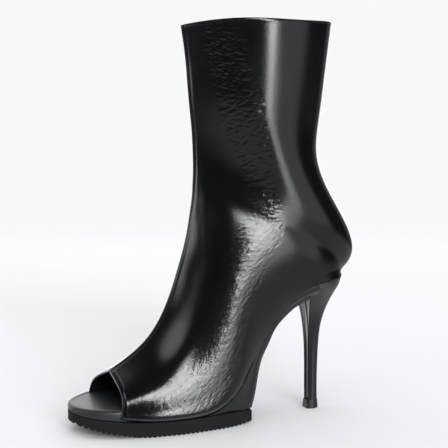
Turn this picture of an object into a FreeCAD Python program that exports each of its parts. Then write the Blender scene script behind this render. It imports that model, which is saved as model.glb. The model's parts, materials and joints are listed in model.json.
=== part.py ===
import FreeCAD, Part
import math
import os
import Sketcher

# A left peep-toe ankle boot with a stiletto heel, seen as its maker sees it: an upper of two
# quarters closed on a last, a lasted bottom, a covered heel and a zip on the inner side.
# Toe towards -X, outer side towards -Y, +Z up. Lengths are in millimetres.

os.makedirs("parts", exist_ok=True)
doc = FreeCAD.newDocument("PeepToeBoot")
Vec = FreeCAD.Vector

# ---------------------------------------------------------------- driving dimensions
sheet = doc.addObject("Spreadsheet::Sheet", "Sizes")

driving = {
    "origin_x": 104.714,          # from the toe-opening datum to the middle of the boot
    "origin_y": 1.849,            # from the seam plane to the middle of the boot
    "leather_thick": 1.2,
    "layer_gap": 0.05,          # glue line between two layers
    "stiffener_thick": 0.6,
    "lining_thick": 0.8,
    "board_thick": 2.2,
    "sock_thick": 0.9,
    "outer_skew": 0.10,         # the toe opening stands back on the outer side
    "inner_skew": 0.16,         # and forward on the inner side
    "topline_rise": 4.0,        # how far the topline rises beside the front seam
    "facing_depth": 0.75,       # topline facing, in stations
    "strip_width": 120.0,       # blank from which each sole layer is cut
    "shank_width": 12.0,
    "shank_thick": 1.2,
    "wrap_thick": 1.2,          # leather wrap of the waist and the heel
    "tread_depth": 1.7,
    "tread_pitch": 3.6,
    "tread_land": 1.6,
    "tube_radius": 2.2,
    "tube_bore": 1.5,
    "tube_height": 64.0,
    "tip_height": 6.4,
    "pin_radius": 1.45,
    "pin_height": 22.0,
    "stem_width": 7.0,
    "pin_half": 3.2,
    "puller_half": 2.3,
    "stem_x": 186.2,            # middle of the heel stem
    "screw_radius": 1.9,
    "screw_height": 22.0,
    "screw_head_radius": 4.0,
    "screw_head_height": 1.4,
    "nail_radius": 0.9,
    "nail_height": 13.0,
    "rivet_radius": 1.5,
    "rivet_height": 3.4,
    "zip_length": 126.0,
    "slot_half": 4.5,
    "tape_half": 13.0,
    "tape_gap": 0.6,            # from the middle of the zip to each tape and row of teeth
    "tooth_width": 2.2,
    "tooth_thick": 1.2,
    "tooth_tall": 1.2,
    "tooth_pitch": 2.0,
    "slider_width": 8.2,
    "slider_length": 11.0,
    "wing_thick": 1.0,
    "post_thick": 0.6,
    "lug_thick": 0.8,
    "hinge_height": 3.3,        # zip hinge above the outer leather
    "hinge_pin_radius": 0.6,
    "puller_width": 4.6,
    "puller_thick": 1.4,
    "puller_length": 24.0,
}

# Each station is one cross-section of the last, from the front seam to the bottom or the back.
station_columns = ("front_x", "front_z", "back_x", "back_z", "outer_half", "inner_half",
                   "outer_feather", "inner_feather", "apex", "shoulder", "fullness")
stations = {
    "toe":       (22.0, 44.0, 18.0, 13.8, 31.0, 30.0, 29.5, 31.0, 19, 0.38, 1.04),
    "vamp":      (37.0, 53.5, 42.0, 11.2, 35.2, 35.2, 34.5, 35.5, 20, 0.38, 1.04),
    "joint":     (53.0, 68.0, 70.0, 10.6, 36.2, 36.0, 35.5, 36.0, 24, 0.38, 1.05),
    "ball":      (66.0, 90.5, 96.0, 14.0, 34.8, 34.4, 32.5, 32.0, 27, 0.36, 1.08),
    "waist":     (75.0, 116.0, 117.5, 30.5, 32.6, 32.0, 27.0, 25.5, 29, 0.32, 1.12),
    "arch":      (81.0, 137.0, 133.5, 60.0, 31.0, 30.8, 24.0, 22.5, 31, 0.30, 1.13),
    "instep":    (84.5, 156.0, 152.0, 84.5, 30.4, 30.3, 24.5, 23.5, 32, 0.30, 1.13),
    "seat":      (86.7, 173.0, 182.0, 101.0, 30.2, 30.2, 26.5, 26.5, 33, 0.30, 1.13),
    "heel_rear": (87.3, 187.0, 206.5, 105.2, 30.0, 30.0, 0.0, 0.0, 33, 0.30, 1.13),
    "counter":   (87.2, 200.0, 218.3, 124.0, 30.2, 30.4, 0.0, 0.0, 34, 0.30, 1.13),
    "achilles":  (86.5, 216.0, 211.0, 146.0, 30.8, 30.95, 0.0, 0.0, 35, 0.30, 1.13),
    "ankle":     (85.0, 232.0, 196.5, 170.0, 31.5, 31.25, 0.0, 0.0, 35, 0.30, 1.13),
    "shin":      (83.3, 250.0, 185.8, 197.5, 32.6, 32.35, 0.0, 0.0, 35, 0.30, 1.13),
    "calf_low":  (82.0, 266.0, 187.7, 228.0, 33.6, 33.45, 0.0, 0.0, 35, 0.30, 1.13),
    "calf":      (80.2, 281.0, 192.3, 263.0, 34.7, 34.6, 0.0, 0.0, 35, 0.30, 1.13),
    "top":       (78.0, 294.7, 197.0, 299.3, 35.8, 35.8, 0.0, 0.0, 35, 0.30, 1.13),
}


def enter_size(row, alias, value):
    sheet.set("A%d" % row, alias)
    sheet.set("B%d" % row, str(value))
    sheet.setAlias("B%d" % row, alias)


entries = dict(driving)
for station_name, station_values in stations.items():
    for column_name, column_value in zip(station_columns, station_values):
        entries[station_name + "_" + column_name] = column_value
for entry_row, (entry_alias, entry_value) in enumerate(entries.items(), start=1):
    enter_size(entry_row, entry_alias, entry_value)
doc.recompute()


def size(alias):
    return float(sheet.get(alias))


# every leaf of the document is drawn from the toe-opening datum and placed in the boot's frame
home = FreeCAD.Placement(Vec(-size("origin_x"), -size("origin_y"), 0), FreeCAD.Rotation())


# ---------------------------------------------------------------- the last: nested forms
OUTER = -1
INNER = 1
NAMES = list(stations)
HEEL_STEPS = 3                    # sections in which the feather line closes round the heel
SEAT = NAMES.index("seat")
HEEL_REAR = NAMES.index("heel_rear")
TOP = NAMES.index("top")
# the last's parameter: a whole number at each station, in thirds round the heel
PARAMS = [float(n) for n in range(SEAT + 1)]
PARAMS += [SEAT + step / HEEL_STEPS for step in range(1, HEEL_STEPS)]
PARAMS += [float(n) for n in range(HEEL_REAR, TOP + 1)]


def spline_slopes(params, values):
    """Slopes of the natural cubic spline through the values."""
    count = len(params)
    gaps = [params[n + 1] - params[n] for n in range(count - 1)]
    chords = [(values[n + 1] - values[n]) / gaps[n] for n in range(count - 1)]
    diagonal = [2.0 / gaps[0]]
    right = [3.0 * chords[0] / gaps[0]]
    for n in range(1, count - 1):
        diagonal.append(2.0 / gaps[n - 1] + 2.0 / gaps[n])
        right.append(3.0 * (chords[n - 1] / gaps[n - 1] + chords[n] / gaps[n]))
    diagonal.append(2.0 / gaps[-1])
    right.append(3.0 * chords[-1] / gaps[-1])
    for n in range(1, count):
        factor = 1.0 / gaps[n - 1] / diagonal[n - 1]
        diagonal[n] -= factor / gaps[n - 1]
        right[n] -= factor * right[n - 1]
    slopes = [0.0] * count
    slopes[-1] = right[-1] / diagonal[-1]
    for n in range(count - 2, -1, -1):
        slopes[n] = (right[n] - slopes[n + 1] / gaps[n]) / diagonal[n]
    return slopes


def station_at(param):
    """Section values at one of PARAMS: the heel steps sweep the seat round to the rear."""
    lower = min(int(param), TOP)
    share = param - lower
    below = [size(NAMES[lower] + "_" + column) for column in station_columns]
    if share == 0:
        return dict(zip(station_columns, below))
    above = [size(NAMES[lower + 1] + "_" + column) for column in station_columns]
    values = [a + (b - a) * share for a, b in zip(below, above)]
    section = dict(zip(station_columns, values))
    turn = share * math.pi / 2
    for column, near, far in zip(station_columns, below, above):
        if column in ("back_x", "back_z"):
            section[column] = near + (far - near) * math.sin(turn)
        if column in ("outer_feather", "inner_feather"):
            section[column] = near * math.cos(turn)
    return section


VAMP_END = 5.5      # station where the fuller vamp wall has died away
VAMP_FADE = 2.5     # stations over which it does so


def section_poles(param, side, inset):
    """Six poles of one side of a section, from the front seam round to the bottom or back."""
    s = station_at(param)
    prefix = "outer" if side == OUTER else "inner"
    half = s[prefix + "_half"]
    feather = s[prefix + "_feather"]
    lean = math.radians(s["apex"])
    front = Vec(s["front_x"], 0, s["front_z"])
    back = Vec(s["back_x"], 0, s["back_z"])
    along = (back - front).normalize()
    under = feather / half
    sideways = inset * min(1.0, under / 0.8)
    front = front + along * (inset / math.cos(lean))
    back = back - along * math.sqrt(max(0.0, inset ** 2 - sideways ** 2))
    length = (back - front).Length
    half = half - inset
    feather = feather - sideways
    reach = 0.42 * half
    # the vamp's wall stands fuller and turns under more sharply than the waist's
    ease = min(1.0, max(0.0, (VAMP_END - param) / VAMP_FADE))
    vamp = ease * ease * (3 - 2 * ease)
    wall_ahead = 0.66 + 0.04 * under + 0.18 * vamp
    turn_ahead = 1 - 0.14 * under + 0.08 * vamp
    turn_out = (1.04 + 0.10 * vamp) * feather + 0.62 * (1 - under) * half
    flat_poles = ((0, 0),
                  (reach * math.tan(lean), reach),
                  (s["shoulder"] * length, s["fullness"] * half),
                  (wall_ahead * length, (1.13 - 0.07 * vamp) * half),
                  (turn_ahead * length, turn_out),
                  (length, feather))
    rise = size("topline_rise") * max(0.0, (param - TOP + 1.5) / 1.5) ** 2
    rises = (0, 0.6 * rise, rise, 0, 0, 0)
    fade = max(0.0, 1 - param / 2.5) ** 2
    skew = fade * (size("outer_skew") if side == OUTER else -size("inner_skew"))
    # round the heel the wall stands up from the feather line, so its poles are lifted
    heel_share = param - SEAT if SEAT < param <= HEEL_REAR else 0.0
    walls = (0, 0, 0, 2.0 * heel_share, 6.0 * heel_share, 0)
    poles = []
    for (ahead, out), up, wall in zip(flat_poles, rises, walls):
        point = front + along * ahead
        poles.append(Vec(point.x + skew * out + 0.4 * wall, side * out, point.z + up + wall))
    return poles


def form_patch(side, inset, first, last):
    """The last's surface between two of PARAMS as one smooth B-spline surface."""
    smooth = [section_poles(param, side, inset) for param in PARAMS]
    picked = [n for n, param in enumerate(PARAMS) if first <= param <= last]
    params = [PARAMS[n] for n in picked]
    rows = [smooth[n] for n in picked]
    columns = []
    for j in range(6):
        everywhere = j < 5
        source_params = PARAMS if everywhere else params
        source_rows = smooth if everywhere else rows
        slopes = []
        for axis in range(3):
            found = spline_slopes(source_params, [row[j][axis] for row in source_rows])
            slopes.append([found[n] for n in picked] if everywhere else found)
        column = [rows[0][j]]
        for n in range(len(params) - 1):
            third = (params[n + 1] - params[n]) / 3
            leaving = Vec(slopes[0][n], slopes[1][n], slopes[2][n])
            arriving = Vec(slopes[0][n + 1], slopes[1][n + 1], slopes[2][n + 1])
            column.append(rows[n][j] + leaving * third)
            column.append(rows[n + 1][j] - arriving * third)
        column.append(rows[-1][j])
        columns.append(column)
    poles = [[column[n] for column in columns] for n in range(len(columns[0]))]
    surface = Part.BSplineSurface()
    inner_knots = len(params) - 2
    surface.buildFromPolesMultsKnots(poles, [4] + [2] * inner_knots + [4], [4, 1, 1, 4],
                                     params, [0, 1 / 3, 2 / 3, 1], False, False, 3, 3)
    return surface


def panel_shape(side, outside, inside, first, last, start, stop):
    """A solid sheet of the upper between two depths under the last's outer surface."""
    faces = []
    spans = []
    for low, high in ((0, HEEL_REAR), (HEEL_REAR, TOP)):
        if max(first, low) < min(last, high):
            spans.append((low, high, max(first, low), min(last, high)))
    for low, high, begin, end in spans:
        skins = []
        for depth in (outside, inside):
            skin = form_patch(side, depth, low, high)
            skin.segment(begin, end, start, stop)
            skins.append(skin)
            faces.append(skin.toShape())
        for along in (start, stop):
            edges = [skin.vIso(along).toShape() for skin in skins]
            faces.append(Part.makeRuledSurface(edges[0], edges[1]))
        ends = [param for param in (begin, end) if param in (first, last)]
        for across in ends:
            edges = [skin.uIso(across).toShape() for skin in skins]
            faces.append(Part.makeRuledSurface(edges[0], edges[1]))
    shell = Part.makeShell(faces)
    shell.sewShape()
    solid = Part.makeSolid(shell)
    if solid.Volume < 0:
        solid.reverse()
    return solid


def piece(name, shape):
    """A free-form piece: its shape comes from the sheet through the last."""
    feature = doc.addObject("Part::Feature", name)
    feature.Shape = shape
    feature.Placement = home
    return feature


def bind(target, **expressions):
    for prop, expression in expressions.items():
        target.setExpression(prop, expression)
    return target


def cut(name, base, tool):
    result = doc.addObject("Part::Cut", name)
    result.Base = base
    result.Tool = tool
    return result


def common(name, base, tool):
    result = doc.addObject("Part::Common", name)
    result.Base = base
    result.Tool = tool
    return result


def fuse(name, shapes):
    result = doc.addObject("Part::MultiFuse", name)
    result.Shapes = shapes
    return result


# ---------------------------------------------------------------- the upper
leather = size("leather_thick")
gap = size("layer_gap")
stiff_out = leather + gap
stiff_in = stiff_out + size("stiffener_thick")
lining_out = stiff_in + gap
lining_in = lining_out + size("lining_thick")
facing_line = TOP - size("facing_depth")


def pair_shape(outside, inside, first, last, start, stop):
    """The same panel on both sides, joined on the seam plane."""
    halves = [panel_shape(side, outside, inside, first, last, start, stop)
              for side in (OUTER, INNER)]
    return halves[0].fuse(halves[1])


outer_quarter = piece("outer_quarter", panel_shape(OUTER, 0, leather, 0, TOP, 0, 1))
outer_lining = piece("outer_lining",
                     panel_shape(OUTER, lining_out, lining_in, 0, facing_line, 0, 1))
inner_quarter_blank = piece("inner_quarter_blank", panel_shape(INNER, 0, leather, 0, TOP, 0, 1))
inner_lining_blank = piece("inner_lining_blank",
                           panel_shape(INNER, lining_out, lining_in, 0, facing_line, 0, 1))
facing_blank = piece("facing_blank",
                     pair_shape(lining_out, lining_in, facing_line + 0.02, TOP, 0, 1))
opening_stay = piece("opening_stay", pair_shape(stiff_out, stiff_in, 0.02, 0.38, 0, 1))
heel_counter = piece("heel_counter", pair_shape(stiff_out, stiff_in, 6.2, 9.2, 0.66, 1))
front_seam_tape = piece("front_seam_tape",
                        pair_shape(stiff_out, stiff_in, 0.4, TOP - 0.1, 0, 0.07))
back_seam_tape = piece("back_seam_tape",
                       pair_shape(stiff_out, stiff_in, 9.25, TOP - 0.1, 0.93, 1))

# ---------------------------------------------------------------- the zip, up the inner side
zip_foot_x = 141.0
zip_foot_z = 169.5
zip_lean_x = -3.5                 # how far forward the zip leans from foot to top
zip_roll = math.radians(2.0)      # the zip's face turns a little towards the toe
inner_skin = form_patch(INNER, 0, HEEL_REAR, TOP).toShape()


def on_inner_skin(x, z):
    """The point of the inner side at this x and z."""
    probe = Part.makeLine(Vec(x, 10, z), Vec(x, 60, z))
    return inner_skin.distToShape(probe)[1][0][0]


zip_foot = on_inner_skin(zip_foot_x, zip_foot_z)
zip_head = on_inner_skin(zip_foot_x + zip_lean_x, zip_foot_z + size("zip_length"))
zip_up = (zip_head - zip_foot).normalize()
zip_face = (Vec(0, 1, 0) - zip_up * zip_up.y).normalize()
zip_out = zip_face * math.cos(zip_roll) - zip_face.cross(zip_up) * math.sin(zip_roll)
zip_turn = FreeCAD.Rotation(zip_out.cross(zip_up), zip_out, zip_up, "ZYX")
zip_frame = home.multiply(FreeCAD.Placement(zip_foot, zip_turn))


def in_zip(x, y, z):
    """A place in the zip's own frame: y out of the leather, z up the chain."""
    return zip_frame.multiply(FreeCAD.Placement(Vec(x, y, z), FreeCAD.Rotation()))


def zip_block(name, x, y, z, length, width, height):
    """A block in the zip's frame; the last three are expressions of the sheet."""
    block = doc.addObject("Part::Box", name)
    bind(block, Length=length, Width=width, Height=height)
    block.Placement = in_zip(x, y, z)
    return block


slot_half = size("slot_half")
zip_length = size("zip_length")
tape_gap = size("tape_gap")
tape_half = size("tape_half")
zip_slot = zip_block("zip_slot", -slot_half, -3.4, 0.4, "2 * Sizes.slot_half", "10",
                     "Sizes.zip_length + 20")
inner_quarter = cut("inner_quarter", inner_quarter_blank, zip_slot)
inner_lining = cut("inner_lining", inner_lining_blank, zip_slot)
topline_facing = cut("topline_facing", facing_blank, zip_slot)

teeth_low = -0.9                  # underside of the teeth, on the tape
tape_low = -2.2                   # lowest that a tape lies under the slider
tape_sheet = panel_shape(INNER, stiff_out, stiff_in, HEEL_REAR, TOP, 0.25, 0.85)
tapes = []
for tape_name, tape_x in (("zip_tape_front", -tape_half), ("zip_tape_back", tape_gap)):
    tape_blank = piece(tape_name + "_blank", tape_sheet)
    tape_block = zip_block(tape_name + "_block", tape_x, -8, 0,
                           "Sizes.tape_half - Sizes.tape_gap", "12", "Sizes.zip_length")
    # pressed flat where the slider passes over and under it
    slider_way = fuse(tape_name + "_way", [
        zip_block(tape_name + "_way_over", -slot_half, teeth_low, 0, "2 * Sizes.slot_half", "5",
                  "Sizes.zip_length"),
        zip_block(tape_name + "_way_under", -slot_half, tape_low - 6, 0, "2 * Sizes.slot_half",
                  "6", "Sizes.zip_length")])
    tapes.append(cut(tape_name, common(tape_name + "_strip", tape_blank, tape_block), slider_way))

guard_blank = piece("guard_blank",
                    panel_shape(INNER, lining_in + gap, lining_in + 1.35, HEEL_REAR, TOP, 0.2, 0.9))
guard_block = zip_block("guard_block", -tape_half, -12, 0, "2 * Sizes.tape_half", "18",
                        "Sizes.zip_length - 2")
guard_groove = zip_block("guard_groove", -slot_half, -3.2, -1, "2 * Sizes.slot_half", "9",
                         "Sizes.zip_length + 9")
zip_guard = cut("zip_guard", common("guard_flap", guard_blank, guard_block), guard_groove)


def origin_plane(body, role):
    return next(f for f in body.Origin.OriginFeatures if f.Role == role)


def new_sketch(body, name, role, lift=0.0):
    sketch = body.newObject("Sketcher::SketchObject", name)
    sketch.AttachmentSupport = [(origin_plane(body, role), "")]
    sketch.MapMode = "FlatFace"
    sketch.AttachmentOffset = FreeCAD.Placement(Vec(0, 0, lift), FreeCAD.Rotation())
    return sketch


def draw_runs(sketch, runs):
    """Closed outline of runs of points: two points make a line, more make a smooth curve."""
    for run in runs:
        points = [Vec(x, y, 0) for x, y in run]
        if len(points) == 2:
            sketch.addGeometry(Part.LineSegment(points[0], points[1]), False)
        else:
            curve = Part.BSplineCurve()
            curve.interpolate(points)
            sketch.addGeometry(curve, False)


def polygon(points):
    """Runs of straight lines round a closed polygon."""
    return [[points[n], points[(n + 1) % len(points)]] for n in range(len(points))]


def draw_rectangle(sketch, low_x, low_y, width, height):
    """A rectangle held by constraints; width and height are expressions of the sheet."""
    corners = [(low_x, low_y), (low_x + 5, low_y), (low_x + 5, low_y + 5), (low_x, low_y + 5)]
    first = sketch.GeometryCount
    draw_runs(sketch, polygon(corners))
    for n in range(4):
        after = first + (n + 1) % 4
        sketch.addConstraint(Sketcher.Constraint("Coincident", first + n, 2, after, 1))
    sketch.addConstraint(Sketcher.Constraint("Horizontal", first))
    sketch.addConstraint(Sketcher.Constraint("Horizontal", first + 2))
    sketch.addConstraint(Sketcher.Constraint("Vertical", first + 1))
    sketch.addConstraint(Sketcher.Constraint("Vertical", first + 3))
    sketch.addConstraint(Sketcher.Constraint("DistanceX", -1, 1, first, 1, low_x))
    sketch.addConstraint(Sketcher.Constraint("DistanceY", -1, 1, first, 1, low_y))
    across = sketch.addConstraint(Sketcher.Constraint("DistanceX", first, 1, first, 2, 5))
    up = sketch.addConstraint(Sketcher.Constraint("DistanceY", first + 1, 1, first + 1, 2, 5))
    sketch.setExpression("Constraints[%d]" % across, width)
    sketch.setExpression("Constraints[%d]" % up, height)


def new_body(name):
    body = doc.addObject("PartDesign::Body", name)
    body.Placement = home
    return body


def pad(body, sketch, name, length, side_type="One side", backwards=False):
    feature = body.newObject("PartDesign::Pad", name)
    feature.Profile = sketch
    feature.SideType = side_type
    feature.Reversed = backwards
    feature.setExpression("Length", length)
    return feature


# ---------------------------------------------------------------- sole layers
skins = {side: form_patch(side, 0, 0, HEEL_REAR) for side in (OUTER, INNER)}


def feather_point(param, side=OUTER):
    return skins[side].value(param, 1)


def feather_run(first, last, steps, lift):
    """The upper's lower edge in side view, raised or lowered a little."""
    points = []
    for n in range(steps + 1):
        found = feather_point(first + (last - first) * n / steps)
        points.append((found.x, found.z + lift))
    return points


def offset_run(points, distance):
    """The same run moved square to itself, upwards when the distance is positive."""
    moved = []
    for n, (x, z) in enumerate(points):
        before = points[max(n - 1, 0)]
        after = points[min(n + 1, len(points) - 1)]
        run = math.hypot(after[0] - before[0], after[1] - before[1])
        moved.append((x - distance * (after[1] - before[1]) / run,
                      z + distance * (after[0] - before[0]) / run))
    return moved


def feather_outline(inset, first, last, steps):
    """Plan outline inside the upper: inner side going back, outer side coming forward."""
    out = []
    for side in (INNER, OUTER):
        half = []
        for n in range(steps + 1):
            param = first + (last - first) * n / steps
            found = feather_point(param, side)
            half.append((found.x, found.y - side * inset))
        out.append(half)
    return out[0], out[1][::-1]


def sole_layer(name, profile, outline):
    """A layer padded from its side view, then trimmed to its plan outline."""
    body = new_body(name)
    side_view = new_sketch(body, name + "_side", "XZ_Plane")
    draw_runs(side_view, profile)
    pad(body, side_view, name + "_blank", "Sizes.strip_width", "Symmetric")
    plan_view = new_sketch(body, name + "_plan", "XY_Plane")
    reach = 300
    draw_runs(plan_view, polygon([(-reach, -reach), (reach, -reach), (reach, reach), (-reach, reach)]))
    draw_runs(plan_view, outline)
    trim = body.newObject("PartDesign::Pocket", name + "_trim")
    trim.Profile = plan_view
    trim.Type = "ThroughAll"
    trim.SideType = "Symmetric"
    return body


rubber_top = [(-9.2, 16.4), (8, 14.0), (23, 12.2), (42, 10.7), (70, 10.3), (95, 10.6), (124.5, 9.9)]
board_front = [(-9.2, 18.1), (22, 17.5), (60, 17.1), (85, 17.4), (97, 19.0), (107, 22.6)]
board_bottom = board_front + feather_run(4, HEEL_REAR, 12, 0.1)
board_top = offset_run(board_bottom, size("board_thick"))
cushion_bottom = offset_run(board_bottom, 0.9)
sock_top = offset_run(board_bottom, size("board_thick") + size("sock_thick"))
shank_bottom = offset_run(board_bottom, -size("shank_thick"))
underside = [(124.5, 9.9), (127.0, 17), (129.4, 28), (134.8, 48.6), (140, 58.3), (146.2, 69.6),
             (153.8, 78.2), (161.4, 84.7), (168, 88.3), (176.4, 91)]


def band(low, high):
    """Side view between two runs that go the same way."""
    return [low, [low[-1], high[-1]], high[::-1], [high[0], low[0]]]


def closed_plan(inner_run, outer_run):
    """Plan outline from the two halves, closed across both ends."""
    runs = [inner_run, outer_run]
    if inner_run[-1] != outer_run[0]:
        runs.insert(1, [inner_run[-1], outer_run[0]])
    runs.append([outer_run[-1], inner_run[0]])
    return runs


inside_edge = lining_in + 0.7      # from the upper's outer face to the edge of the insole


# rubber outsole with its saw-tooth tread across the foot
def tread_height(x):
    """Height of the tread above the ground: flat under the ball, sprung at toe and rear."""
    spring = 0.024 * max(0.0, 45 - x) ** 1.5
    lift = 0.0045 * max(0.0, x - 104) ** 2
    return spring + lift


def tread_points(front, rear):
    points = [(front, tread_height(front))]
    pitch = size("tread_pitch")
    land = size("tread_land")
    depth = size("tread_depth")
    x = front + land
    while x + pitch < rear:
        slope = (pitch - land) / 2
        points.append((x, tread_height(x)))
        points.append((x + slope, tread_height(x + slope) + depth))
        points.append((x + 2 * slope, tread_height(x + 2 * slope)))
        x += pitch
    points.append((rear, tread_height(rear)))
    return points


rubber_front = (-9.2, 9.4)
rubber_tread = tread_points(rubber_front[0], 124.5)
rubber_side = [rubber_top, [rubber_top[-1], rubber_tread[-1]]]
rubber_side += [[a, b] for a, b in zip(rubber_tread[::-1], rubber_tread[::-1][1:])]
rubber_side += [[rubber_tread[0], rubber_top[0]]]
rubber_plan = [[(124.5, -25.5), (124.5, 24.5)],
               [(124.5, 24.5), (112, 28.5), (92, 33.5), (70, 36.2), (45, 35.8), (22, 32.8),
                (4, 25.5), (-6, 12), (-9.0, -1), (-6.5, -12), (3, -23.5), (22, -31.3),
                (45, -34.6), (70, -35.6), (92, -33.4), (112, -29.3), (124.5, -25.5)]]
outsole = sole_layer("outsole", rubber_side, rubber_plan)

# what fills the space between the rubber and the insole
filler_side = [rubber_top, underside, [underside[-1], board_bottom[-1]], board_bottom[::-1],
               [board_bottom[0], rubber_top[0]]]
tongue_rim = [(13.0, 29.0), (3.5, 22.5), (-3.5, 12.5), (-6.4, -1), (-4, -10.5), (4.5, -20.5), (17.5, -26.5)]
core_inner, core_outer = feather_outline(inside_edge, 0.5, 3, 8)
platform_plan = [[tongue_rim[0], core_inner[0]], core_inner, [core_inner[-1], core_outer[0]],
                 core_outer, [core_outer[-1], tongue_rim[-1]], tongue_rim[::-1]]
platform = sole_layer("platform", filler_side, platform_plan)
waist_inner, waist_outer = feather_outline(inside_edge, 3.004, 6.8, 12)
waist_blank = sole_layer("waist_blank", filler_side, closed_plan(waist_inner, waist_outer))

# insole board with a foam cushion let into it, a steel shank under it and the sock on top
seat_inner, seat_outer = feather_outline(inside_edge, 0.5, HEEL_REAR - 0.28, 16)
seat_back = [seat_inner[-1], (202.4, 0.0), seat_outer[0]]
board_plan = [[tongue_rim[0], seat_inner[0]], seat_inner, seat_back, seat_outer,
              [seat_outer[-1], tongue_rim[-1]], tongue_rim[::-1]]
board_blank = sole_layer("board_blank", band(board_bottom, board_top), board_plan)
sock_lining = sole_layer("sock_lining", band(board_top, sock_top), board_plan)
cushion_plan = [[(34, 22), (60, 27), (86, 22), (93, 0), (86, -22), (60, -27), (34, -22), (28, 0),
                 (34, 22)]]
forefoot_cushion = sole_layer("forefoot_cushion", band(cushion_bottom, board_top), cushion_plan)
shank_half = size("shank_width") / 2
shank_plan = polygon([(101, -shank_half), (174, -shank_half), (174, shank_half), (101, shank_half)])
shank_blank = sole_layer("shank_blank", band(shank_bottom, board_bottom), shank_plan)

# leather wraps: the tongue's cover, the waist cover and the thin waist sole
cover_plan = [[(12.2, 32.2), (4.5, 26.2), (-3.5, 17.5), (-8.0, 5.5), (-8.7, -2.5), (-6.4, -12),
               (2, -22.5), (20.2, -30.4)], [(20.2, -30.4), (12.2, 32.2)]]
cover_blank = sole_layer("cover_blank", band(rubber_top, sock_top), cover_plan)
platform_cover = cut("platform_cover", cover_blank,
                     fuse("tongue_filling", [platform, board_blank, sock_lining]))

waist_line = feather_run(2.45, 6.85, 14, -0.12)
wrap_side = [rubber_top, underside, [underside[-1], waist_line[-1]], waist_line[::-1],
             [waist_line[0], rubber_top[0]]]
wrap_inner, wrap_outer = feather_outline(0.15, 2.5, 6.8, 14)
wrap_blank = sole_layer("wrap_blank", wrap_side, closed_plan(wrap_inner, wrap_outer))
waist_wrap = cut("waist_wrap", wrap_blank, fuse("waist_filling", [waist_blank, platform]))
waist_sole_outer = offset_run(underside, -size("wrap_thick"))
waist_sole_plan = [[(129.5, 20.5), (136, 19), (147, 17.5), (160, 16), (175.2, 13)],
                   [(175.2, 13), (175.2, -13)],
                   [(175.2, -13), (160, -17), (147, -18.5), (136, -20), (129.5, -21.5)],
                   [(129.5, -21.5), (129.5, 20.5)]]
waist_sole = sole_layer("waist_sole", band(waist_sole_outer, underside), waist_sole_plan)

# ---------------------------------------------------------------- the heel
# height, front, back and half width of each level of the heel
heel_levels = ((6.5, 181.7, 190.8, 5.0), (37, 181.4, 190.9, 5.2), (57, 180.9, 192.0, 6.2),
               (70.4, 180.2, 194.2, 8.4), (80.5, 179.0, 197.5, 12.0), (91, 177.4, 201.3, 18.5),
               (99, 176.8, 204.8, 24.3), (106, 176.8, 206.4, 26.2))


def heel_loft(name, inset):
    """The heel block lofted through its levels; inset makes room for the leather cover."""
    body = new_body(name)
    sketches = []
    for n, (height, front, back, half) in enumerate(heel_levels):
        sketch = new_sketch(body, "%s_level_%d" % (name, n), "XY_Plane", height)
        fore = front + inset
        aft = back - inset
        wide = half - inset
        deep = aft - fore
        flat = wide * (0.72 + 0.24 * n / (len(heel_levels) - 1))
        side = [(fore + 0.3 * deep, wide), (fore + 0.78 * deep, 0.74 * wide)]
        back_run = [(fore, flat)] + side + [(aft, 0)]
        back_run += [(x, -y) for x, y in side[::-1]] + [(fore, -flat)]
        draw_runs(sketch, [back_run, [(fore, -flat), (fore, flat)]])
        sketches.append(sketch)
    loft = body.newObject("PartDesign::AdditiveLoft", name + "_loft")
    loft.Profile = sketches[0]
    loft.Sections = sketches[1:]
    loft.Ruled = True
    return body


heel_blank = heel_loft("heel_blank", 0)
core_blank = heel_loft("core_blank", size("wrap_thick") - 0.2)
seat_line = feather_run(5.5, HEEL_REAR, 12, -0.12)
seat_line.append((216, 106.8))
seat_tool = new_body("seat_tool")
seat_sketch = new_sketch(seat_tool, "seat_side", "XZ_Plane")
draw_runs(seat_sketch, [seat_line, [seat_line[-1], (216, 130)], [(216, 130), (140, 130)],
                        [(140, 130), seat_line[0]]])
pad(seat_tool, seat_sketch, "seat_pad", "Sizes.strip_width", "Symmetric")
heel_cover = cut("heel_cover", cut("heel_seated", heel_blank, seat_tool), core_blank)


def upright(name, x, y, z, radius, height):
    """A vertical cylinder; radius and height are expressions of the sheet."""
    cylinder = doc.addObject("Part::Cylinder", name)
    bind(cylinder, Radius=radius, Height=height)
    cylinder.Placement = home.multiply(FreeCAD.Placement(Vec(x, y, z), FreeCAD.Rotation()))
    return cylinder


stem_x = size("stem_x")
tube_outer = upright("tube_outer", stem_x, 0, 6.45, "Sizes.tube_radius", "Sizes.tube_height")
tube_bore = upright("tube_bore_tool", stem_x, 0, 6, "Sizes.tube_bore", "Sizes.tube_height + 5")
heel_tube = cut("heel_tube", tube_outer, tube_bore)
heel_tip_pin = upright("heel_tip_pin", stem_x, 0, 2.5, "Sizes.pin_radius", "Sizes.pin_height")


def board_top_at(x):
    """Height of the insole board's top at x."""
    for (x0, z0), (x1, z1) in zip(board_top, board_top[1:]):
        if x0 <= x <= x1:
            return z0 + (z1 - z0) * (x - x0) / (x1 - x0)
    raise ValueError("no board at %s" % x)


def board_slope_at(x):
    """Slope of the insole board at x, in degrees."""
    return math.degrees(math.atan2(board_top_at(x + 2) - board_top_at(x - 2), 4))


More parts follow.
